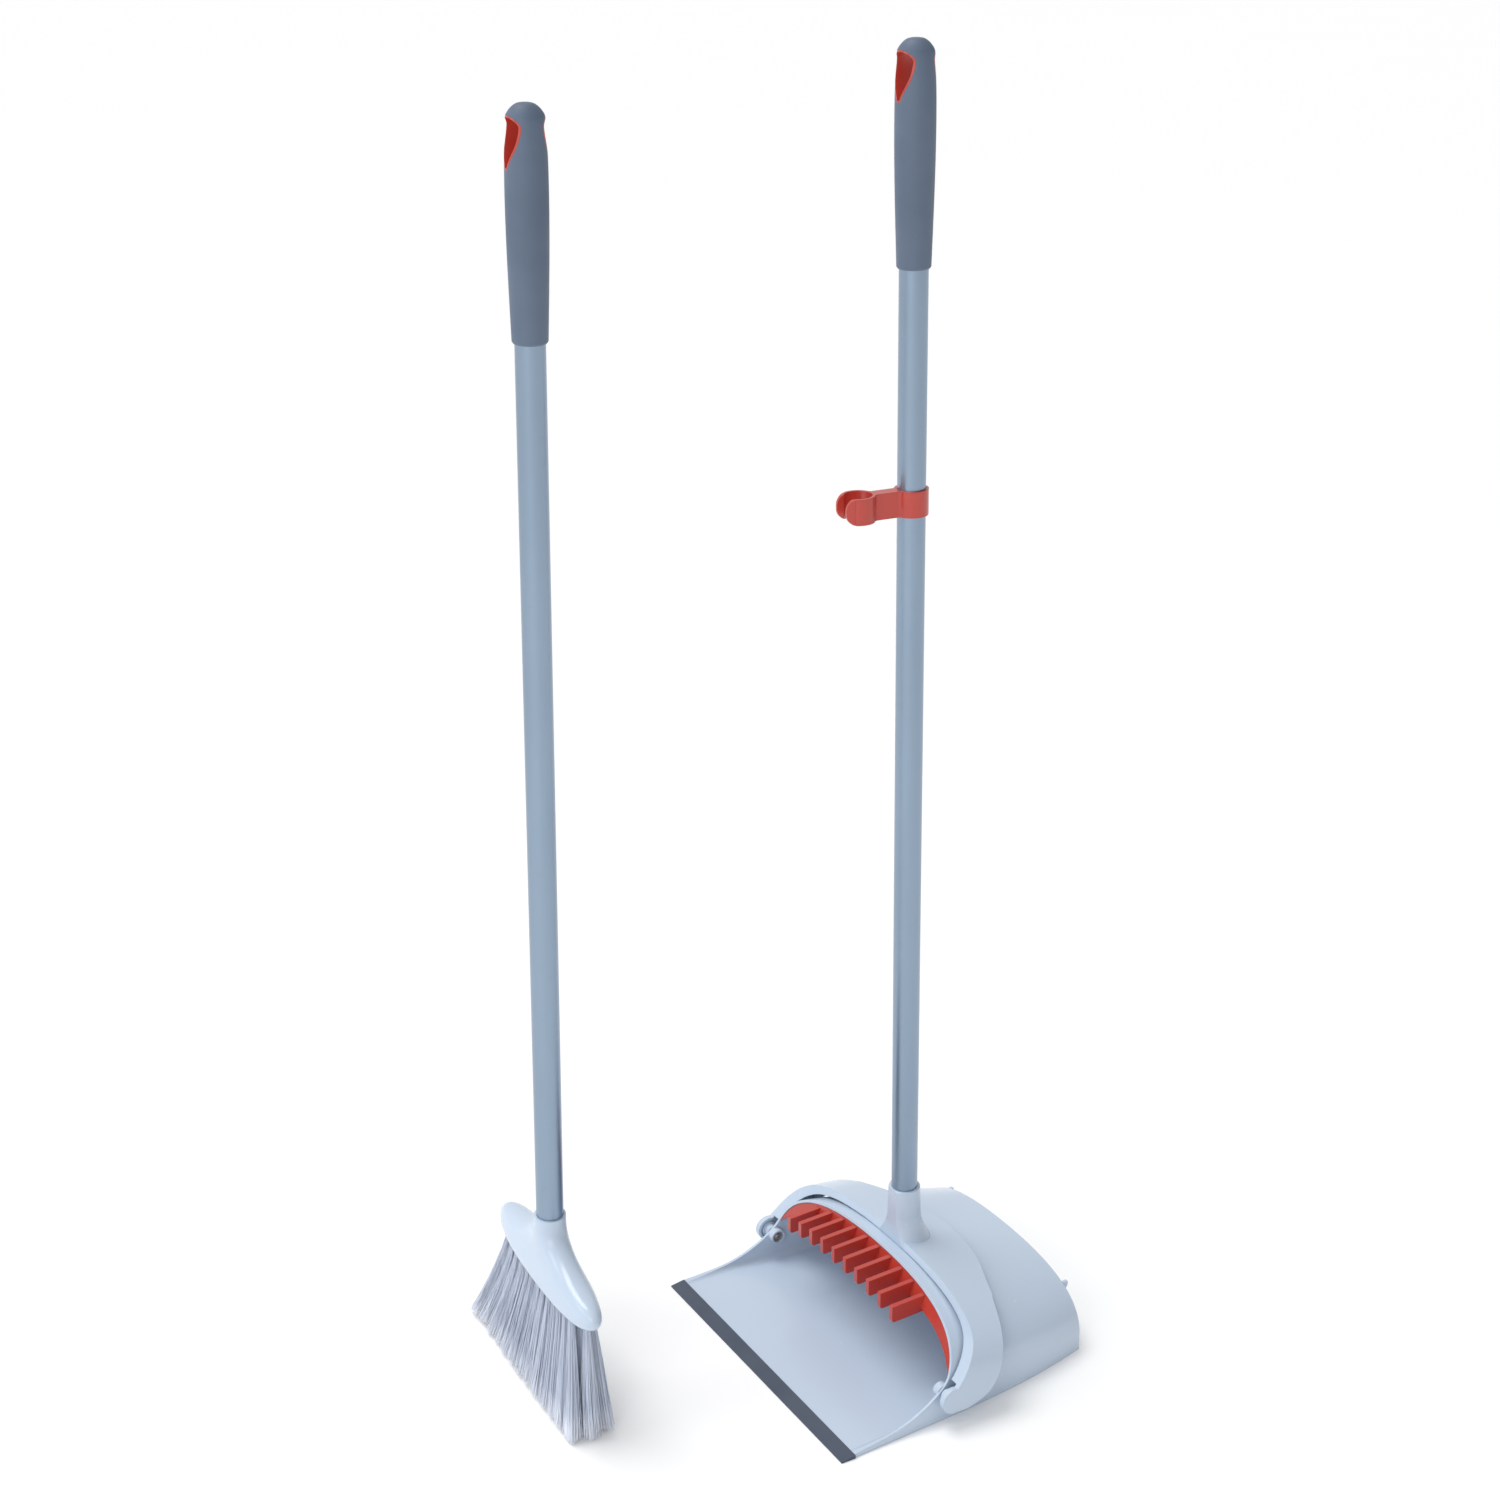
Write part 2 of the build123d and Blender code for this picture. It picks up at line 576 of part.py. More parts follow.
broom_tube = handle_tube(broom_axis, BROOM_SOCKET_FLOOR, BROOM_TOP - GRIP_HEAD)
broom_tube_plug = tube_plug(broom_axis, BROOM_SOCKET_FLOOR)
broom_grip_core = grip_core(broom_axis, BROOM_TOP)
broom_grip_sleeve = grip_sleeve(broom_axis, BROOM_TOP)

# ---------------------------------------------------------------- broom clip
JAW_RADIUS = TUBE_RADIUS + 0.1
JAW_GAP = 6.6                   # half the gap between the jaws, narrower than the handle
JAW_LENGTH = 12.5               # from the jaws' middle to their ends
JAW_FLARE = 0.4
CLIP_NECK = 9.6
CLIP_PLAY = 0.05                # on the pan's tube, glued
CLIP_END_RADIUS = 8.0           # rounding of the jaws' ends in side view
clip_axis = pan_axis.offset(CLIP_Z).rotated((0, 0, CLIP_TURN))
clip_side = Plane(origin=clip_axis.origin, x_dir=clip_axis.y_dir, z_dir=clip_axis.x_dir)

with BuildPart() as broom_clip:
    jaw_root = -CLIP_REACH - 6.5
    jaw_tip = -CLIP_REACH - JAW_LENGTH
    with BuildSketch(clip_axis) as clip_plan:
        Circle(TUBE_RADIUS + CLIP_THICKNESS)
        with Locations((0, -CLIP_REACH / 2)):
            Rectangle(CLIP_NECK, CLIP_REACH - 2 * TUBE_RADIUS)
        with Locations((0, -CLIP_REACH)):
            Circle(JAW_RADIUS + CLIP_THICKNESS)
        fillet(clip_plan.vertices().filter_by_position(Axis.X, -CLIP_NECK, CLIP_NECK), 3.0)
        for side in (1, -1):
            Polygon(
                (side * JAW_GAP, jaw_root),
                (side * (JAW_GAP + JAW_FLARE), jaw_tip),
                (side * (JAW_GAP + JAW_FLARE + CLIP_THICKNESS), jaw_tip),
                (side * 10.5, jaw_root),
                align=None,
            )
        with Locations((0, -CLIP_REACH)):
            Circle(JAW_RADIUS, mode=Mode.SUBTRACT)
        Polygon(
            (-JAW_GAP, jaw_root + 1.5),
            (JAW_GAP, jaw_root + 1.5),
            (JAW_GAP, jaw_root),
            (JAW_GAP + JAW_FLARE, jaw_tip),
            (-JAW_GAP - JAW_FLARE, jaw_tip),
            (-JAW_GAP, jaw_root),
            align=None,
            mode=Mode.SUBTRACT,
        )
        Circle(TUBE_RADIUS + CLIP_PLAY, mode=Mode.SUBTRACT)
    extrude(amount=CLIP_HEIGHT)
    with BuildSketch(clip_side):
        with Locations(((60 + jaw_tip) / 2, CLIP_HEIGHT / 2)):
            RectangleRounded(60 - jaw_tip, CLIP_HEIGHT, CLIP_END_RADIUS)
    extrude(amount=60, both=True, mode=Mode.INTERSECT)

# ---------------------------------------------------------------- broom head
HEAD_SHIFT = -3.0               # middle of the block, off the handle's axis
HEAD_NECK_FROM = 117.0          # the shift fades out from here
HEAD_NECK_TO = 134.0
HEAD_SECTIONS = (               # height, half-length, half-width, squareness
    (BLOCK_UNDERSIDE, 78.5, 14.2, 0.66),
    (106.0, 82.5, 15.4, 0.66),
    (111.0, 84.5, 15.7, 0.65),
    (117.0, 81.0, 14.9, 0.64),
    (122.0, 69.0, 13.8, 0.62),
    (127.0, 48.0, 13.0, 0.60),
    (134.0, 28.0, 12.4, 0.58),
    (142.0, 16.0, 12.1, 0.56),
    (150.0, 12.4, 11.9, 0.5523),
    (BROOM_SOCKET_TOP, 11.7, 11.7, 0.5523),
)


def head_section(height, half_length, half_width, squareness):
    """Rounded outline of the broom's block at one height, as a face."""
    slide = HEAD_SHIFT * max(0.0, min(1.0, (HEAD_NECK_TO - height) / (HEAD_NECK_TO - HEAD_NECK_FROM)))
    right = slide + half_length
    left = slide - half_length
    along = half_length * squareness
    across = half_width * squareness
    with BuildSketch(broom_axis.offset(height)) as outline:
        with BuildLine():
            Bezier((right, 0), (right, across), (slide + along, half_width), (slide, half_width))
            Bezier((slide, half_width), (slide - along, half_width), (left, across), (left, 0))
            Bezier((left, 0), (left, -across), (slide - along, -half_width), (slide, -half_width))
            Bezier((slide, -half_width), (slide + along, -half_width), (right, -across), (right, 0))
        make_face()
    return outline.sketch


def tuft_places():
    """Row number and place of every tuft in the block's underside."""
    for row in range(TUFT_ROWS):
        count = TUFTS_PER_ROW if row == 1 else TUFTS_PER_ROW - 2
        for tuft in range(count):
            along = HEAD_SHIFT + (tuft - (count - 1) / 2) * TUFT_PITCH
            yield row, along, (row - 1) * TUFT_ROW_PITCH


with BuildPart() as broom_head:
    loft(sections=[head_section(*section) for section in HEAD_SECTIONS])
    with BuildSketch(broom_axis.offset(BROOM_SOCKET_FLOOR)):
        Circle(TUBE_RADIUS)
    extrude(amount=60, mode=Mode.SUBTRACT)
    with BuildSketch(broom_axis.offset(BLOCK_UNDERSIDE)):
        for row, along, across in tuft_places():
            with Locations((along, across)):
                Circle(TUFT_HOLE_RADIUS)
    extrude(amount=TUFT_HOLE_DEPTH, mode=Mode.SUBTRACT)

# ---------------------------------------------------------------- bristles and their anchors
ROOT_GAP = 1.0                  # between neighbouring rows
ROOT_HALF_LENGTH = TUFTS_PER_ROW / 2 * TUFT_PITCH - 1.5


def bristle_row(row):
    """One row of bristles: roots in the block's holes and a fan down to the floor."""
    side = row - 1
    with BuildPart() as bristles:
        with BuildSketch(broom_axis.offset(BLOCK_UNDERSIDE)):
            with Locations((HEAD_SHIFT, side * TUFT_ROW_PITCH)):
                Rectangle(2 * (ROOT_HALF_LENGTH - abs(side) * TUFT_PITCH), TUFT_ROW_PITCH - ROOT_GAP)
        with BuildSketch(broom_floor):
            with Locations((FAN_SWEEP, FAN_SHIFT + side * FAN_ROW_PITCH)):
                Rectangle(2 * (FAN_HALF_LENGTH - abs(side) * FAN_CORNER), FAN_ROW_PITCH - ROOT_GAP)
        loft()
        with BuildSketch(broom_axis.offset(BLOCK_UNDERSIDE)):
            for tuft_row, along, across in tuft_places():
                if tuft_row == row:
                    with Locations((along, across)):
                        Circle(TUFT_HOLE_RADIUS)
        extrude(amount=TUFT_HOLE_DEPTH - ANCHOR_HEIGHT)
    return bristles.part


with BuildPart() as tuft_anchors:
    with BuildSketch(broom_axis.offset(BLOCK_UNDERSIDE + TUFT_HOLE_DEPTH - ANCHOR_HEIGHT)):
        for row, along, across in tuft_places():
            with Locations((along, across)):
                Rectangle(2 * TUFT_HOLE_RADIUS - 0.5, 0.5)
    extrude(amount=ANCHOR_HEIGHT)

# ---------------------------------------------------------------- write every piece
pieces = {
    "pan_body": pan_body.part,
    "lip_strip": lip_strip.part,
    "comb_insert": comb_insert.part,
    "yoke": yoke.part,
    "pivot_washers": pivot_washers.part,
    "pivot_screws": pivot_screws.part,
    "pan_tube": pan_tube,
    "pan_tube_plug": pan_tube_plug,
    "pan_grip_core": pan_grip_core,
    "pan_grip_sleeve": pan_grip_sleeve,
    "broom_clip": broom_clip.part,
    "broom_head": broom_head.part,
    "bristles_front": bristle_row(0),
    "bristles_middle": bristle_row(1),
    "bristles_rear": bristle_row(2),
    "tuft_anchors": tuft_anchors.part,
    "broom_tube": broom_tube,
    "broom_tube_plug": broom_tube_plug,
    "broom_grip_core": broom_grip_core,
    "broom_grip_sleeve": broom_grip_sleeve,
}
for name, piece in pieces.items():
    piece.label = name
    export_step(piece, f"parts/{name}.step")
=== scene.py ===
"""Looks of an upright dustpan and brush set: hooded pan on a yoke and long handle, and its broom.

Metres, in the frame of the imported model: origin on the floor under the pan's handle, +Z up,
-Y towards the pan's lip.  Every piece of the set rides on one of the bodies pan, handle and broom.
"""

import logging
import math
import random
from dataclasses import dataclass, field
from enum import Enum
from typing import Any, Iterator, Union

import bmesh
import bpy
from mathutils import Matrix, Vector

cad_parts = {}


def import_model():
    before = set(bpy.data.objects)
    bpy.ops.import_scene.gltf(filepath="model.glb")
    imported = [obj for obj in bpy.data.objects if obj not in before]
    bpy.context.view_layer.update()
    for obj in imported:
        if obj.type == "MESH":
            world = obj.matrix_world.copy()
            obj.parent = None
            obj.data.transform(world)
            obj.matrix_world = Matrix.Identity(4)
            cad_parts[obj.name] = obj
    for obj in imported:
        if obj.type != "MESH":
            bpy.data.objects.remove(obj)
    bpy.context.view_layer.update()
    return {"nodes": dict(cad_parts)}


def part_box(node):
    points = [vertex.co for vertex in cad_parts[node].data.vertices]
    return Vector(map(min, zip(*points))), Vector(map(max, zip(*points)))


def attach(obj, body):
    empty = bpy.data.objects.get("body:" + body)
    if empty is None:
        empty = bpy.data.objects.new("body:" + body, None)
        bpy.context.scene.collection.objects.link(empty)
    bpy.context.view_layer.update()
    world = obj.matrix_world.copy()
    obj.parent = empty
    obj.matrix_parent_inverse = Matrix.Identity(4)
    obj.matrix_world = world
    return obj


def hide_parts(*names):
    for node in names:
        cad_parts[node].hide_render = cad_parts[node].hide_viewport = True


log = logging.getLogger("dustpan")

Axes = tuple[float, float, float]
Colour = tuple[float, float, float]
Span = tuple[float, float]
Tint = Union[Colour, bpy.types.NodeSocket]

# Sockets of a Mix node that blends colours, by number, because their names repeat.
MIX_FACTOR = 0
MIX_LOW = 6
MIX_HIGH = 7
MIX_RESULT = 2


class Body(Enum):
    """Moving bodies of the set, by their packed names."""

    PAN = "pan"
    HANDLE = "handle"
    BROOM = "broom"


# ---------------------------------------------------------------- shader graphs
class Value:
    """A number on a node's socket that takes part in Python arithmetic."""

    def __init__(self, graph: "Graph", socket: bpy.types.NodeSocket) -> None:
        """Wraps a socket.

        Args:
            graph: The graph that the socket belongs to.
            socket: An output socket that carries a number.
        """
        self.graph = graph
        self.socket = socket

    def _math(self, operation: str, first: Any, second: Any) -> "Value":
        """Adds one Math node.

        Args:
            operation: The Math node's operation.
            first: Its first operand, a Value or a number.
            second: Its second operand, a Value or a number.

        Returns:
            The node's result.
        """
        node = self.graph.node("ShaderNodeMath", {"operation": operation}, {0: first, 1: second})
        return Value(self.graph, node.outputs[0])

    def __add__(self, other: Any) -> "Value":
        """Sum."""
        return self._math("ADD", self, other)

    def __radd__(self, other: Any) -> "Value":
        """Sum with a number on the left."""
        return self._math("ADD", other, self)

    def __sub__(self, other: Any) -> "Value":
        """Difference."""
        return self._math("SUBTRACT", self, other)

    def __rsub__(self, other: Any) -> "Value":
        """Difference from a number on the left."""
        return self._math("SUBTRACT", other, self)

    def __mul__(self, other: Any) -> "Value":
        """Product."""
        return self._math("MULTIPLY", self, other)

    def __rmul__(self, other: Any) -> "Value":
        """Product with a number on the left."""
        return self._math("MULTIPLY", other, self)

    def ramp(self, low: float, high: float, out_low: float = 0.0, out_high: float = 1.0) -> "Value":
        """Maps low..high smoothly to out_low..out_high, held at both ends.

        Args:
            low: Input that gives out_low.
            high: Input that gives out_high.
            out_low: Result at and below low.
            out_high: Result at and above high.

        Returns:
            The mapped value.
        """
        node = self.graph.node(
            "ShaderNodeMapRange",
            {"interpolation_type": "SMOOTHSTEP"},
            {"Value": self, "From Min": low, "From Max": high, "To Min": out_low, "To Max": out_high},
        )
        return Value(self.graph, node.outputs[0])


@dataclass(frozen=True)
class Pattern:
    """A noise: features per metre, octaves, stretch along X, Y and Z, and the band that is kept."""

    scale: float
    detail: float = 2.0
    stretch: Axes = (1.0, 1.0, 1.0)
    band: Union[Span, None] = None


class Graph:
    """The node tree of one material or of the world."""

    def __init__(self, owner: Union[bpy.types.Material, bpy.types.World]) -> None:
        """Starts an empty tree.

        Args:
            owner: The material or the world.
        """
        self.owner = owner
        owner.use_nodes = True
        self.tree = owner.node_tree
        self.tree.nodes.clear()

    def node(self, kind: str, settings: dict[str, Any], inputs: dict[Any, Any]) -> bpy.types.Node:
        """Makes one node.

        Args:
            kind: The node's type.
            settings: Properties of the node, set before its sockets.
            inputs: Values, or links as Value or socket, by input name or number.

        Returns:
            The new node.
        """
        made = self.tree.nodes.new(kind)
        for key, setting in settings.items():
            setattr(made, key, setting)
        for key, given in inputs.items():
            if isinstance(given, Value):
                self.tree.links.new(given.socket, made.inputs[key])
            elif isinstance(given, bpy.types.NodeSocket):
                self.tree.links.new(given, made.inputs[key])
            else:
                made.inputs[key].default_value = given
        return made

    def pattern(self, pattern: Pattern) -> Value:
        """Reads a noise at a piece's object coordinates.

        Args:
            pattern: What the noise is like.

        Returns:
            The noise, 0 to 1.
        """
        coordinates = self.node("ShaderNodeTexCoord", {}, {})
        place = self.node(
            "ShaderNodeMapping",
            {"vector_type": "POINT"},
            {"Vector": coordinates.outputs["Object"], "Scale": pattern.stretch},
        )
        made = self.node(
            "ShaderNodeTexNoise",
            {},
            {"Vector": place.outputs[0], "Scale": pattern.scale, "Detail": pattern.detail},
        )
        noise = Value(self, made.outputs[0])
        return noise.ramp(*pattern.band) if pattern.band else noise

    def height(self) -> Value:
        """Reads the height above the floor, which is a piece's own Z, as it sits at the origin.

        Returns:
            The height in metres.
        """
        coordinates = self.node("ShaderNodeTexCoord", {}, {})
        parts = self.node("ShaderNodeSeparateXYZ", {}, {0: coordinates.outputs["Object"]})
        return Value(self, parts.outputs["Z"])

    def blend(self, low: Tint, high: Tint, factor: Value) -> bpy.types.NodeSocket:
        """Mixes two colours.

        Args:
            low: Colour where the factor is 0, as numbers or as a socket.
            high: Colour where the factor is 1, as numbers or as a socket.
            factor: The mix.

        Returns:
            A colour socket.
        """
        ends = [end if isinstance(end, bpy.types.NodeSocket) else (*end, 1.0) for end in (low, high)]
        made = self.node(
            "ShaderNodeMix",
            {"data_type": "RGBA"},
            {MIX_FACTOR: factor, MIX_LOW: ends[0], MIX_HIGH: ends[1]},
        )
        return made.outputs[MIX_RESULT]

    def relief(
        self, height: Value, distance: float, strength: float, edge: float
    ) -> bpy.types.NodeSocket:
        """Adds a bump over edges that look rounded.

        Args:
            height: The bump's height, 0 to 1.
            distance: Height in metres of 1.
            strength: The bump's strength.
            edge: Radius in metres that edges seem rounded by.

        Returns:
            A normal socket.
        """
        rounded = self.node("ShaderNodeBevel", {"samples": 4}, {"Radius": edge})
        made = self.node(
            "ShaderNodeBump",
            {},
            {"Height": height, "Distance": distance, "Strength": strength, "Normal": rounded.outputs[0]},
        )
        return made.outputs[0]

    def surface(self, inputs: dict[str, Any]) -> bpy.types.Material:
        """Closes the graph with a Principled shader.

        Args:
            inputs: The shader's inputs.

        Returns:
            The finished material.
        """
        shader = self.node("ShaderNodeBsdfPrincipled", {}, inputs)
        self.node("ShaderNodeOutputMaterial", {}, {0: shader.outputs[0]})
        return self.owner


# ---------------------------------------------------------------- finishes
@dataclass(frozen=True)
class MouldedPlastic:
    """Glossy or satin injection-moulded plastic."""

    name: str
    colour: Colour
    deep: Colour
    roughness: float = 0.3
    coat: float = 0.25
    coat_roughness: float = 0.12
    flow: Pattern = Pattern(scale=14.0, detail=3.0, stretch=(1.0, 0.45, 1.0), band=(0.2, 0.8))
    wear: Pattern = Pattern(scale=60.0, detail=4.0, band=(0.2, 0.9))
    wear_dulling: float = 0.04
    skin: Pattern = Pattern(scale=1400.0)
    skin_depth: float = 0.00001
    skin_strength: float = 0.25
    edge: float = 0.0006

    def material(self) -> bpy.types.Material:
        """Builds faint flow mottling, dulled patches, a fine skin and soft edges.

        Returns:
            The material.
        """
        graph = Graph(bpy.data.materials.new(self.name))
        skin = graph.pattern(self.skin)
        return graph.surface(
            {
                "Base Color": graph.blend(self.deep, self.colour, graph.pattern(self.flow)),
                "Roughness": self.roughness + self.wear_dulling * graph.pattern(self.wear),
                "Coat Weight": self.coat,
                "Coat Roughness": self.coat_roughness,
                "Normal": graph.relief(skin, self.skin_depth, self.skin_strength, self.edge),
            }
        )


@dataclass(frozen=True)
class SoftRubber:
    """Matt soft-touch skin of the grips and of the lip."""

    name: str
    colour: Colour
    deep: Colour
    roughness: float = 0.48
    specular: float = 0.45
    patches: Pattern = Pattern(scale=22.0, detail=3.0, band=(0.3, 0.7))
    patch_dulling: float = 0.1
    grain: Pattern = Pattern(scale=2600.0, detail=3.0)
    grain_depth: float = 0.00005
    grain_strength: float = 0.4
    edge: float = 0.0005

    def material(self) -> bpy.types.Material:
        """Builds a fine spark-eroded grain, with handled patches a little shinier.

        Returns:
            The material.
        """
        graph = Graph(bpy.data.materials.new(self.name))
        patches = graph.pattern(self.patches)
        grain = graph.pattern(self.grain)
        return graph.surface(
            {
                "Base Color": graph.blend(self.deep, self.colour, patches),
                "Roughness": self.roughness + self.patch_dulling * (1.0 - patches),
                "Specular IOR Level": self.specular,
                "Normal": graph.relief(grain, self.grain_depth, self.grain_strength, self.edge),
            }
        )


@dataclass(frozen=True)
class DrawnTube:
    """Anodised aluminium tube with fine drawing lines along its length."""

    name: str
    colour: Colour
    deep: Colour
    roughness: float = 0.3
    lines: Pattern = Pattern(scale=1800.0, stretch=(1.0, 1.0, 0.008))
    line_share: float = 0.5
    line_dulling: float = 0.08
    line_depth: float = 0.00001
    line_strength: float = 0.3
    cloud: Pattern = Pattern(scale=30.0, stretch=(1.0, 1.0, 0.25), band=(0.3, 0.7))
    cloud_share: float = 0.5
    scuffs: Pattern = Pattern(scale=240.0, detail=5.0, stretch=(0.4, 0.4, 1.0), band=(0.62, 0.8))
    scuff_dulling: float = 0.12
    scuff_fading: float = 0.06
    edge: float = 0.0002

    def material(self) -> bpy.types.Material:
        """Builds lengthwise lines in colour, gloss and relief, and rare faint scuffs.

        Returns:
            The material.
        """
        graph = Graph(bpy.data.materials.new(self.name))
        lines = graph.pattern(self.lines)
        cloud = graph.pattern(self.cloud)
        scuffs = graph.pattern(self.scuffs)
        shade = self.line_share * lines + self.cloud_share * cloud
        return graph.surface(
            {
                "Base Color": graph.blend(self.deep, self.colour, shade),
                "Metallic": 1.0 - self.scuff_fading * scuffs,
                "Roughness": self.roughness + self.line_dulling * lines + self.scuff_dulling * scuffs,
                "Normal": graph.relief(lines, self.line_depth, self.line_strength, self.edge),
            }
        )


@dataclass(frozen=True)
class PlatedSteel:
    """Small zinc-plated steel parts, a little tarnished."""

    name: str
    colour: Colour
    deep: Colour
    metallic: float = 0.85
    roughness: float = 0.38
    cloud: Pattern = Pattern(scale=700.0, detail=4.0, band=(0.35, 0.65))
    cloud_dulling: float = 0.15
    lines: Pattern = Pattern(scale=5200.0, detail=1.0, stretch=(0.2, 1.0, 1.0))
    line_depth: float = 0.00002
    line_strength: float = 0.3
    edge: float = 0.0001

    def material(self) -> bpy.types.Material:
        """Builds cloudy plating with turned lines.

        Returns:
            The material.
        """
        graph = Graph(bpy.data.materials.new(self.name))
        cloud = graph.pattern(self.cloud)
        lines = graph.pattern(self.lines)
        return graph.surface(
            {
                "Base Color": graph.blend(self.deep, self.colour, cloud),
                "Metallic": self.metallic,
                "Roughness": self.roughness + self.cloud_dulling * cloud,
                "Normal": graph.relief(lines, self.line_depth, self.line_strength, self.edge),
            }
        )


@dataclass(frozen=True)
class Filament:
    """Synthetic bristle: painted shade near the block, tips pale in their own colour and in painted
    light.
    """

    name: str
    colour: Colour
    deep: Colour
    tip: Colour
    roughness: float = 0.42
    specular: float = 0.5
    streaks: Pattern = Pattern(scale=520.0, detail=3.0, stretch=(1.0, 1.0, 0.03), band=(0.3, 0.7))
    streak_share: float = 0.45
    root_shade_share: float = 0.5
    root_shade_heights: Span = (0.072, 0.1)
    tip_heights: Span = (0.007, 0.03)
    tip_dulling: float = 0.14

    def material(self) -> bpy.types.Material:
        """Builds lengthwise streaks, painted shade towards the block, and tips pale near the floor,
        partly their own colour and partly painted light.

        Returns:
            The material.
        """
        graph = Graph(bpy.data.materials.new(self.name))
        height = graph.height()
        streaks = graph.pattern(self.streaks)
        # Painted shade: darker towards the block, where the block and the packed tuft shade the
        # filaments.
        root = height.ramp(*self.root_shade_heights)
        # Pale tips: partly the split ends' own lighter colour, partly painted light that offsets the
        # floor's shade.
        near_floor = 1.0 - height.ramp(*self.tip_heights)
        shade = self.streak_share * streaks + self.root_shade_share * root
        body = graph.blend(self.colour, self.deep, shade)
        return graph.surface(
            {
                "Base Color": graph.blend(body, self.tip, near_floor),
                "Roughness": self.roughness + self.tip_dulling * near_floor,
                "Specular IOR Level": self.specular,
            }
        )


@dataclass(frozen=True)
class StudioFloor:
    """Seamless pale studio floor."""

    name: str
    colour: Colour = (0.93, 0.93, 0.93)
    shade: float = 0.99
    cloud: Pattern = Pattern(scale=1.5)
    roughness: float = 0.8
    specular: float = 0.1
    glow: float = 0.06
    glow_tint: Colour = (1.0, 1.0, 1.0)

    def material(self) -> bpy.types.Material:
        """Builds a faintly glowing pale sheet with a barely visible unevenness.

        Returns:
            The material.
        """
        graph = Graph(bpy.data.materials.new(self.name))
        deep = tuple(self.shade * channel for channel in self.colour)
        return graph.surface(
            {
                "Base Color": graph.blend(deep, self.colour, graph.pattern(self.cloud)),
                "Roughness": self.roughness,
                "Specular IOR Level": self.specular,
                "Emission Color": (*self.glow_tint, 1.0),
                "Emission Strength": self.glow,
            }
        )


class Finish(Enum):
    """Finishes of the set, named as the record's material slots, and a darker rubber for the lip."""

    PALE_PLASTIC = "pale_plastic"
    SLATE_RUBBER = "slate_rubber"
    LIP_RUBBER = "lip_rubber"
    RED_PLASTIC = "red_plastic"
    TUBE_ALUMINIUM = "tube_aluminium"
    WHITE_PLASTIC = "white_plastic"
    BRISTLE = "bristle"
    STEEL = "steel"


@dataclass
class Palette:
    """Makes each finish's material once and hands it out."""

    recipes: dict[Finish, Any] = field(
        default_factory=lambda: {
            Finish.PALE_PLASTIC: MouldedPlastic(
                "pale_plastic", (0.525, 0.62, 0.745), (0.515, 0.61, 0.735), roughness=0.24
            ),
            Finish.SLATE_RUBBER: SoftRubber(
                "slate_rubber", (0.112, 0.152, 0.218), (0.098, 0.135, 0.196)
            ),
            Finish.LIP_RUBBER: SoftRubber("lip_rubber", (0.058, 0.076, 0.115), (0.05, 0.066, 0.1)),
            Finish.RED_PLASTIC: MouldedPlastic(
                "red_plastic", (0.52, 0.05, 0.032), (0.48, 0.042, 0.028), roughness=0.28, coat=0.3
            ),
            Finish.TUBE_ALUMINIUM: DrawnTube(
                "tube_aluminium", (0.295, 0.375, 0.475), (0.26, 0.335, 0.43)
            ),
            Finish.WHITE_PLASTIC: MouldedPlastic(
                "white_plastic", (0.78, 0.8, 0.82), (0.74, 0.76, 0.78), roughness=0.45, coat=0.0
            ),
            # Bristle: deep is painted shade towards the block; tip is partly the split ends' colour,
            # partly painted light.
            Finish.BRISTLE: Filament(
                "bristle", (0.62, 0.68, 0.80), (0.43, 0.48, 0.59), (0.84, 0.88, 0.97)
            ),
            Finish.STEEL: PlatedSteel("steel", (0.42, 0.38, 0.36), (0.3, 0.26, 0.25)),
        }
    )
    made: dict[Finish, bpy.types.Material] = field(default_factory=dict)

    def get(self, finish: Finish) -> bpy.types.Material:
        """Returns a finish's material.

        Args:
            finish: Which finish.

        Returns:
            Its material, made on first use.
        """
        if finish not in self.made:
            self.made[finish] = self.recipes[finish].material()
        return self.made[finish]


# ---------------------------------------------------------------- helpers for pieces
def cover(piece: bpy.types.Object, material: bpy.types.Material) -> None:
    """Gives a piece one material.

    Args:
        piece: The object.
        material: Its only material.
    """
    piece.data.materials.clear()
    piece.data.materials.append(material)


def placed(name: str, data: bpy.types.ID) -> bpy.types.Object:
    """Puts a mesh, curve, light or camera into the scene, at the origin.

    Args:
        name: The object's name.
        data: What it shows.

    Returns:
        The linked object.
    """
    made = bpy.data.objects.new(name, data)
    bpy.context.scene.collection.objects.link(made)
    return made


@dataclass
class SubAssembly:
    """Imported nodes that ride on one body, with the finish of each."""

    palette: Palette
    nodes: dict[str, bpy.types.Object]
    body: Body
    finishes: dict[str, Finish]

    def dress(self, node: str, finish: Finish) -> bpy.types.Object:
        """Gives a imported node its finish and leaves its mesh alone.

        Args:
            node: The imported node's name.
            finish: Its finish.

        Returns:
            The node's object.
        """
        piece = self.nodes[node]
        material = self.palette.get(finish)
        for slot in piece.material_slots:
            slot.material = material
        log.info("%s on %s: %s", node, self.body.value, finish.value)
        return piece

    def build(self) -> list[bpy.types.Object]:
        """Dresses every node of the sub-assembly."""
        return [self.dress(node, finish) for node, finish in self.finishes.items()]


# ---------------------------------------------------------------- the set's sub-assemblies
@dataclass
class Pan(SubAssembly):
    """Hooded pan with its lip strip and the comb that cleans the broom."""

    body: Body = Body.PAN
    finishes: dict[str, Finish] = field(
        default_factory=lambda: {
            "pan_body": Finish.PALE_PLASTIC,
            "lip_strip": Finish.LIP_RUBBER,
            "comb_insert": Finish.RED_PLASTIC,
        }
    )


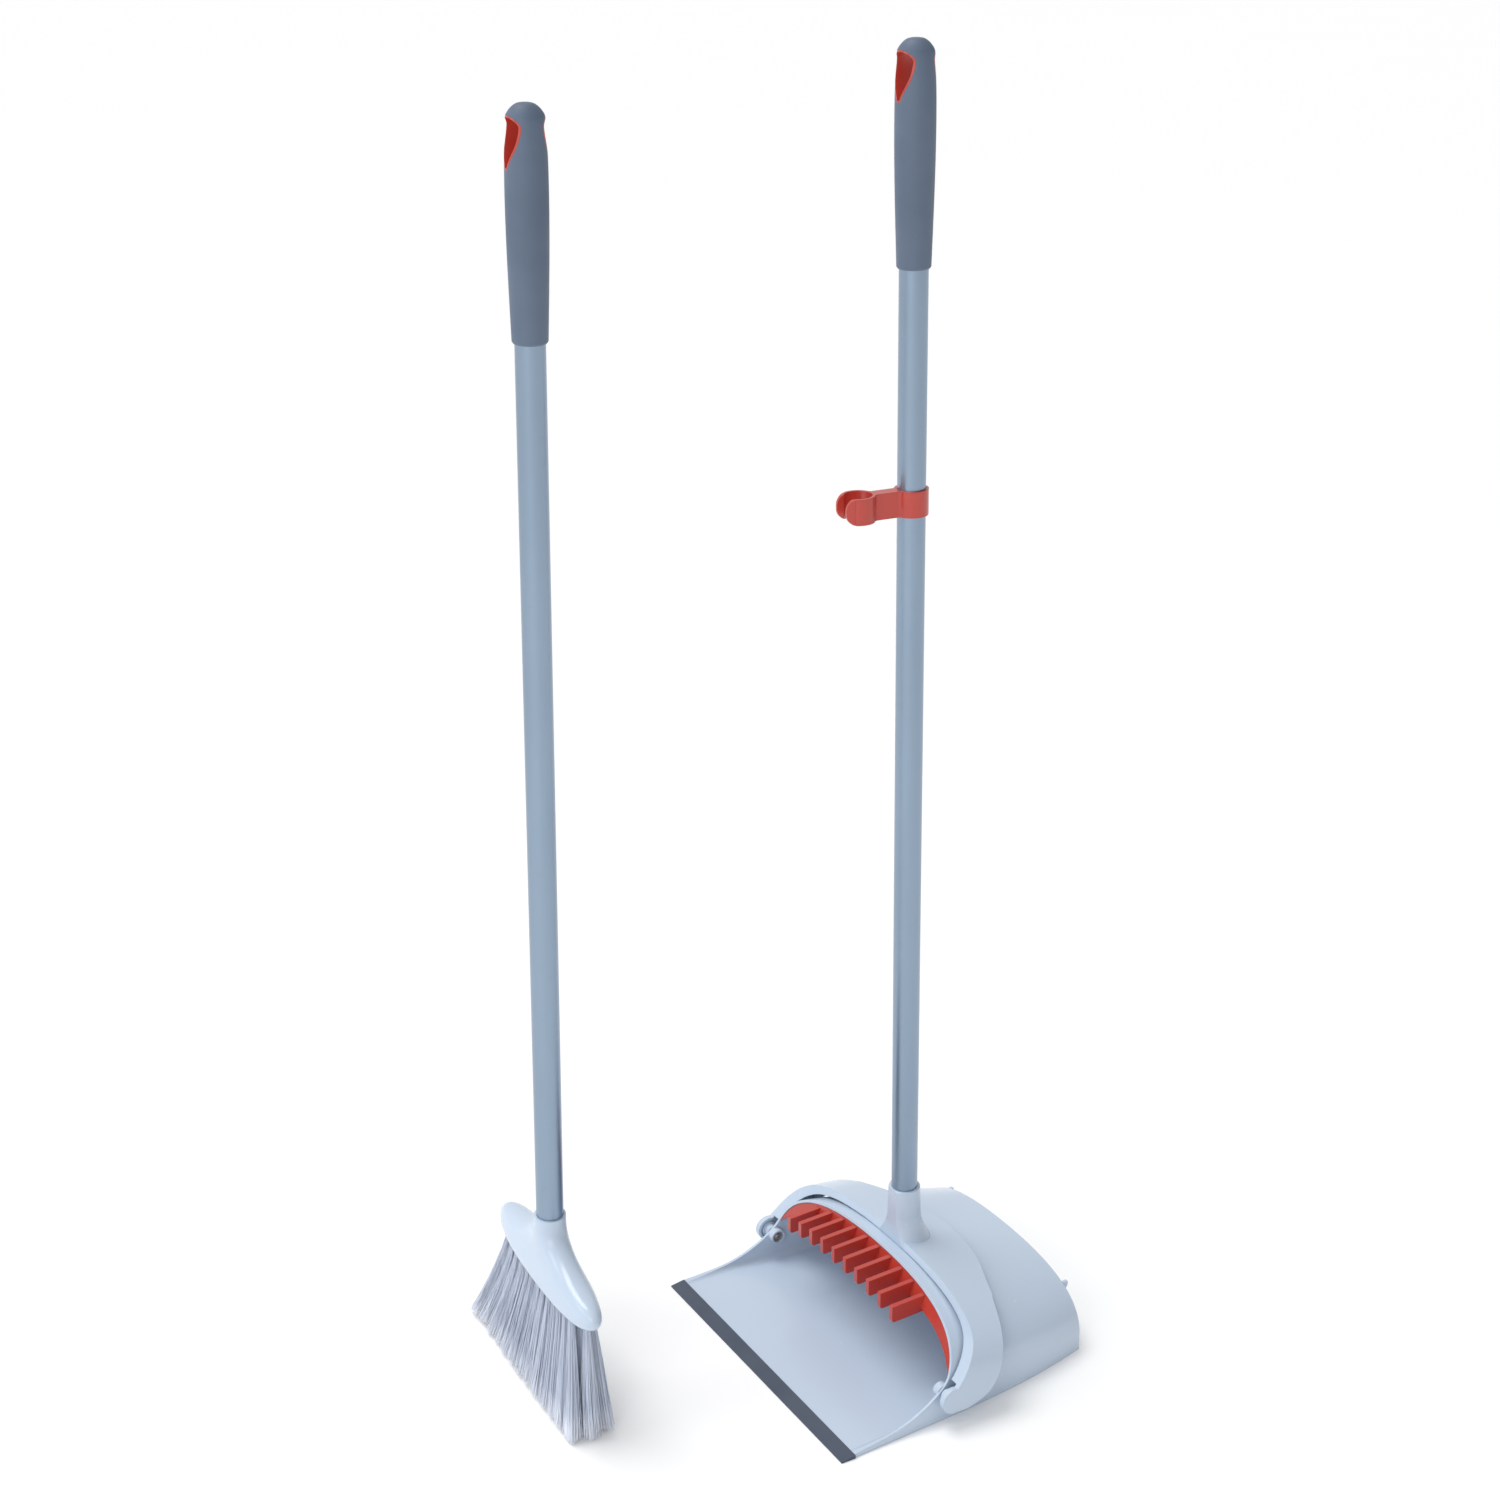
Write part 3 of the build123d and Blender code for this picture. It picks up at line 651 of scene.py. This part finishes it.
@dataclass
class Handle(SubAssembly):
    """Yoke, hinge hardware, tube, clip and grip of the pan's handle."""

    body: Body = Body.HANDLE
    finishes: dict[str, Finish] = field(
        default_factory=lambda: {
            "yoke": Finish.PALE_PLASTIC,
            "pivot_washers": Finish.STEEL,
            "pivot_screws": Finish.STEEL,
            "pan_tube": Finish.TUBE_ALUMINIUM,
            "pan_tube_plug": Finish.WHITE_PLASTIC,
            "pan_grip_core": Finish.RED_PLASTIC,
            "pan_grip_sleeve": Finish.SLATE_RUBBER,
            "broom_clip": Finish.RED_PLASTIC,
        }
    )


@dataclass
class BroomHandle(SubAssembly):
    """Block, tuft anchors, tube and grip of the broom."""

    body: Body = Body.BROOM
    finishes: dict[str, Finish] = field(
        default_factory=lambda: {
            "broom_head": Finish.PALE_PLASTIC,
            "tuft_anchors": Finish.STEEL,
            "broom_tube": Finish.TUBE_ALUMINIUM,
            "broom_tube_plug": Finish.WHITE_PLASTIC,
            "broom_grip_core": Finish.RED_PLASTIC,
            "broom_grip_sleeve": Finish.SLATE_RUBBER,
        }
    )


@dataclass
class BristlePack:
    """Rows of tufts that fan out from the broom's block to the floor.

    Places along the block and across it are in the broom's own frame, from the foot of the
    handle's axis.  Roots start in the block's holes, and tips end near the floor.
    """

    palette: Palette
    foot: Vector = field(default_factory=lambda: Vector((-0.056, -0.28, 0.0)))
    lean: float = math.radians(1.45)
    turn: float = math.radians(-2.8)
    underside: float = 0.103
    root_depth: float = 0.005
    head_shift: float = -0.003
    rows: tuple[str, ...] = ("bristles_front", "bristles_middle", "bristles_rear")
    tufts: tuple[int, ...] = (13, 15, 13)
    pitch: float = 0.0096
    row_pitch: float = 0.0075
    hole: float = 0.0021
    fan_half_length: float = 0.1005
    fan_narrowing: float = 0.003
    fan_sweep: float = -0.028
    fan_row_pitch: float = 0.0135
    fan_shift: float = 0.0016
    filaments: int = 240
    filament_radius: float = 0.00036
    spread: float = 0.0078
    spread_across: float = 0.9
    tuft_trim: float = 0.002
    tuft_scatter: float = 0.0005
    tip_scatter: float = 0.0008
    tip_trim: float = 0.0014
    tip_clearance: float = 0.0006
    stray_share: float = 0.05
    stray_reach: float = 1.3
    bow: Span = (1.12, 1.3)
    sway: float = 0.0006
    taper_start: float = 0.8
    taper: float = 2.6
    steps: int = 5
    inset: float = 0.0008
    seed: int = 7

    def frame(self) -> Matrix:
        """Works out the way from the broom's own frame, Z along its handle, to the model's.

        Returns:
            The matrix.
        """
        up = Vector((math.sin(self.lean), 0.0, math.cos(self.lean)))
        along = Vector(
            (
                math.cos(self.turn) * math.cos(self.lean),
                math.sin(self.turn),
                -math.cos(self.turn) * math.sin(self.lean),
            )
        )
        across = up.cross(along)
        turned = Matrix((along, across, up)).transposed()
        return Matrix.Translation(self.foot) @ turned.to_4x4()

    def lowest(self) -> Vector:
        """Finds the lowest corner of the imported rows' common box.

        Returns:
            The corner.
        """
        feet = [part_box(node)[0] for node in self.rows]
        return Vector([min(foot[axis] for foot in feet) for axis in range(3)])

    def tip_of(self, along: float, row: int, tufts: int) -> Vector:
        """Finds where the middle of a tuft meets the floor.

        Args:
            along: The tuft's place along its row, from the block's middle.
            row: -1, 0 or 1.
            tufts: How many tufts the row has.

        Returns:
            A point on the floor, in the model's frame.
        """
        reach = self.fan_half_length - abs(row) * self.fan_narrowing
        half_row = (tufts - 1) / 2 * self.pitch
        local_x = self.fan_sweep + along / half_row * (reach - self.spread)
        local_y = self.fan_shift + row * self.fan_row_pitch
        c, s = math.cos(self.turn), math.sin(self.turn)
        return self.foot + Vector((c * local_x - s * local_y, s * local_x + c * local_y, 0.0))

    def strands(self, dice: random.Random, row: int, tufts: int) -> Iterator[list[tuple[Vector, float]]]:
        """Yields the filaments of one row, each as points with radii.

        Args:
            dice: The source of variation.
            row: -1, 0 or 1.
            tufts: How many tufts the row has.

        Returns:
            An iterator over the row's filaments.
        """
        to_model = self.frame()
        low = self.lowest()
        for tuft in range(tufts):
            along = (tuft - (tufts - 1) / 2) * self.pitch
            tip_centre = self.tip_of(along, row, tufts)
            trim = dice.uniform(0.0, self.tuft_trim)
            clump = Vector((dice.gauss(0, self.tuft_scatter), dice.gauss(0, self.tuft_scatter), 0.0))
            for _ in range(self.filaments):
                angle = dice.uniform(0, 2 * math.pi)
                out = math.sqrt(dice.random())
                spot = Vector((math.cos(angle) * out, math.sin(angle) * out, 0.0))
                root = to_model @ Vector(
                    (
                        self.head_shift + along + spot.x * self.hole,
                        row * self.row_pitch + spot.y * self.hole,
                        self.underside + self.root_depth,
                    )
                )
                stray = self.stray_reach if dice.random() < self.stray_share else 1.0
                tip = tip_centre + clump + Vector(
                    (
                        spot.x * self.spread * stray + dice.gauss(0, self.tip_scatter),
                        spot.y * self.spread * self.spread_across * stray
                        + dice.gauss(0, self.tip_scatter),
                        trim + abs(dice.gauss(0, self.tip_trim)) + self.tip_clearance,
                    )
                )
                tip.x = max(tip.x, low.x + self.inset)
                tip.y = max(tip.y, low.y + self.inset)
                yield self.strand(dice, root, tip)

    def strand(self, dice: random.Random, root: Vector, tip: Vector) -> list[tuple[Vector, float]]:
        """Runs one filament from the block to the floor, straight at first and bowing outwards.

        Args:
            dice: The source of variation.
            root: Its upper end.
            tip: Its lower end.

        Returns:
            Points with radii.
        """
        bow = dice.uniform(*self.bow)
        sway = Vector((dice.gauss(0, self.sway), dice.gauss(0, self.sway), 0.0))
        points = []
        for step in range(self.steps + 1):
            t = step / self.steps
            level = root.lerp(tip, t)
            flare = root.lerp(tip, t**bow)
            spot = Vector((flare.x, flare.y, level.z)) + sway * math.sin(math.pi * t)
            thin = 1.0 if t < self.taper_start else 1.0 - self.taper * (t - self.taper_start)
            points.append((spot, self.filament_radius * thin))
        return points

    def row_piece(self, node: str, row: int, tufts: int) -> bpy.types.Object:
        """Builds one row of tufts as a mesh.

        Args:
            node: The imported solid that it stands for.
            row: -1, 0 or 1.
            tufts: How many tufts the row has.

        Returns:
            The row's object.
        """
        dice = random.Random(self.seed + row)
        curve = bpy.data.curves.new(node + "_lines", "CURVE")
        curve.dimensions = "3D"
        curve.bevel_depth = 1.0
        curve.bevel_resolution = 0
        curve.use_fill_caps = True
        for strand in self.strands(dice, row, tufts):
            spline = curve.splines.new("POLY")
            spline.points.add(len(strand) - 1)
            for point, (spot, radius) in zip(spline.points, strand):
                point.co = (*spot, 1.0)
                point.radius = radius
        guide = placed(node + "_guide", curve)
        mesh = bpy.data.meshes.new_from_object(guide)
        bpy.data.objects.remove(guide)
        bpy.data.curves.remove(curve)
        mesh.shade_smooth()
        made = placed(node + "_tufts", mesh)
        cover(made, self.palette.get(Finish.BRISTLE))
        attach(made, Body.BROOM.value)
        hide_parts(node)
        log.info("%s: %d faces in %d tufts", made.name, len(mesh.polygons), tufts)
        return made

    def build(self) -> list[bpy.types.Object]:
        """Builds the three rows.

        Returns:
            Their objects.
        """
        return [
            self.row_piece(node, number - 1, tufts)
            for number, (node, tufts) in enumerate(zip(self.rows, self.tufts))
        ]


# ---------------------------------------------------------------- studio
@dataclass(frozen=True)
class SoftBox:
    """A square soft light: where it hangs, its side in metres, its power in watts and its colour."""

    name: str
    place: Axes
    size: float
    power: float
    tint: Colour

    def hang(self, aim: Vector) -> None:
        """Hangs the light.

        Args:
            aim: The point it faces.
        """
        lamp = bpy.data.lights.new(self.name, "AREA")
        lamp.shape = "SQUARE"
        lamp.size = self.size
        lamp.energy = self.power
        lamp.color = self.tint
        made = placed(self.name, lamp)
        made.location = self.place
        made.rotation_euler = (aim - Vector(self.place)).to_track_quat("-Z", "Y").to_euler()


@dataclass
class Studio:
    """Pale floor, soft lights and the camera."""

    floor_radius: float = 30.0
    floor_segments: int = 64
    floor_drop: float = 0.0002
    camera_place: Axes = (1.363, -0.937, 1.151)
    heading: float = math.radians(59.7)
    pitch: float = math.radians(22.0)
    lens: float = 59.34
    sensor: float = 36.0
    ambient: float = 0.74
    wall_tint: Colour = (0.985, 0.99, 1.0)
    dimmed: float = 0.4
    dim_side: Axes = (0.504, 0.863, 0.0)
    dim_band: Span = (0.0, 0.95)
    key_power: float = 1.3
    key_tint: Colour = (1.0, 0.995, 0.985)
    key_spread: float = math.radians(32.0)
    key_from: Axes = (-0.34, -0.2, 1.0)
    aim: Axes = (0.0, -0.12, 0.5)
    strip: SoftBox = SoftBox("strip", (-0.35, -1.9, 1.3), 0.7, 3.5, (1.0, 1.0, 1.0))
    fill: SoftBox = SoftBox("fill", (1.5, -2.1, 1.5), 1.4, 12.0, (0.96, 0.98, 1.0))

    def floor(self) -> bpy.types.Object:
        """Builds the floor, a hair below the set so that the two don't flicker.

        Returns:
            The floor.
        """
        shape = bmesh.new()
        bmesh.ops.create_circle(
            shape, cap_ends=True, segments=self.floor_segments, radius=self.floor_radius
        )
        bmesh.ops.translate(shape, verts=shape.verts, vec=(0.0, 0.0, -self.floor_drop))
        mesh = bpy.data.meshes.new("studio_floor")
        shape.to_mesh(mesh)
        shape.free()
        made = placed("studio_floor", mesh)
        cover(made, StudioFloor("studio_floor").material())
        return made

    def lights(self) -> None:
        """Sets the even light of the studio: a broad distant key, a strip, a fill and the walls."""
        key = bpy.data.lights.new("key", "SUN")
        key.energy = self.key_power
        key.angle = self.key_spread
        key.color = self.key_tint
        made = placed("key", key)
        made.rotation_euler = (-Vector(self.key_from)).to_track_quat("-Z", "Y").to_euler()
        for box in (self.strip, self.fill):
            box.hang(Vector(self.aim))
        self.walls()

    def walls(self) -> None:
        """Lights the studio's walls, the one on the right more weakly."""
        graph = Graph(bpy.data.worlds.new("studio"))
        coordinates = graph.node("ShaderNodeTexCoord", {}, {})
        side = graph.node(
            "ShaderNodeVectorMath",
            {"operation": "DOT_PRODUCT"},
            {0: coordinates.outputs["Generated"], 1: self.dim_side},
        )
        strength = Value(graph, side.outputs["Value"]).ramp(
            *self.dim_band, self.ambient, self.dimmed * self.ambient
        )
        background = graph.node(
            "ShaderNodeBackground", {}, {"Color": (*self.wall_tint, 1.0), "Strength": strength}
        )
        graph.node("ShaderNodeOutputWorld", {}, {0: background.outputs[0]})
        bpy.context.scene.world = graph.owner

    def camera(self) -> None:
        """Stands the camera at the front right of the pan, looking down at it."""
        lens = bpy.data.cameras.new("camera")
        lens.lens = self.lens
        lens.sensor_width = self.sensor
        made = placed("camera", lens)
        made.location = self.camera_place
        made.rotation_euler = (math.pi / 2 - self.pitch, 0.0, self.heading)
        bpy.context.scene.camera = made

    def build(self) -> None:
        """Builds the studio."""
        bpy.context.scene.view_settings.view_transform = "Standard"
        self.floor()
        self.lights()
        self.camera()


def main() -> None:
    """Builds the set and its studio."""
    logging.basicConfig(level=logging.INFO, format="%(message)s")
    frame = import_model()
    palette = Palette()
    Studio().build()
    Pan(palette, frame["nodes"]).build()
    Handle(palette, frame["nodes"]).build()
    BroomHandle(palette, frame["nodes"]).build()
    BristlePack(palette).build()
    log.info("sizes written")


if __name__ == "__main__":
    main()
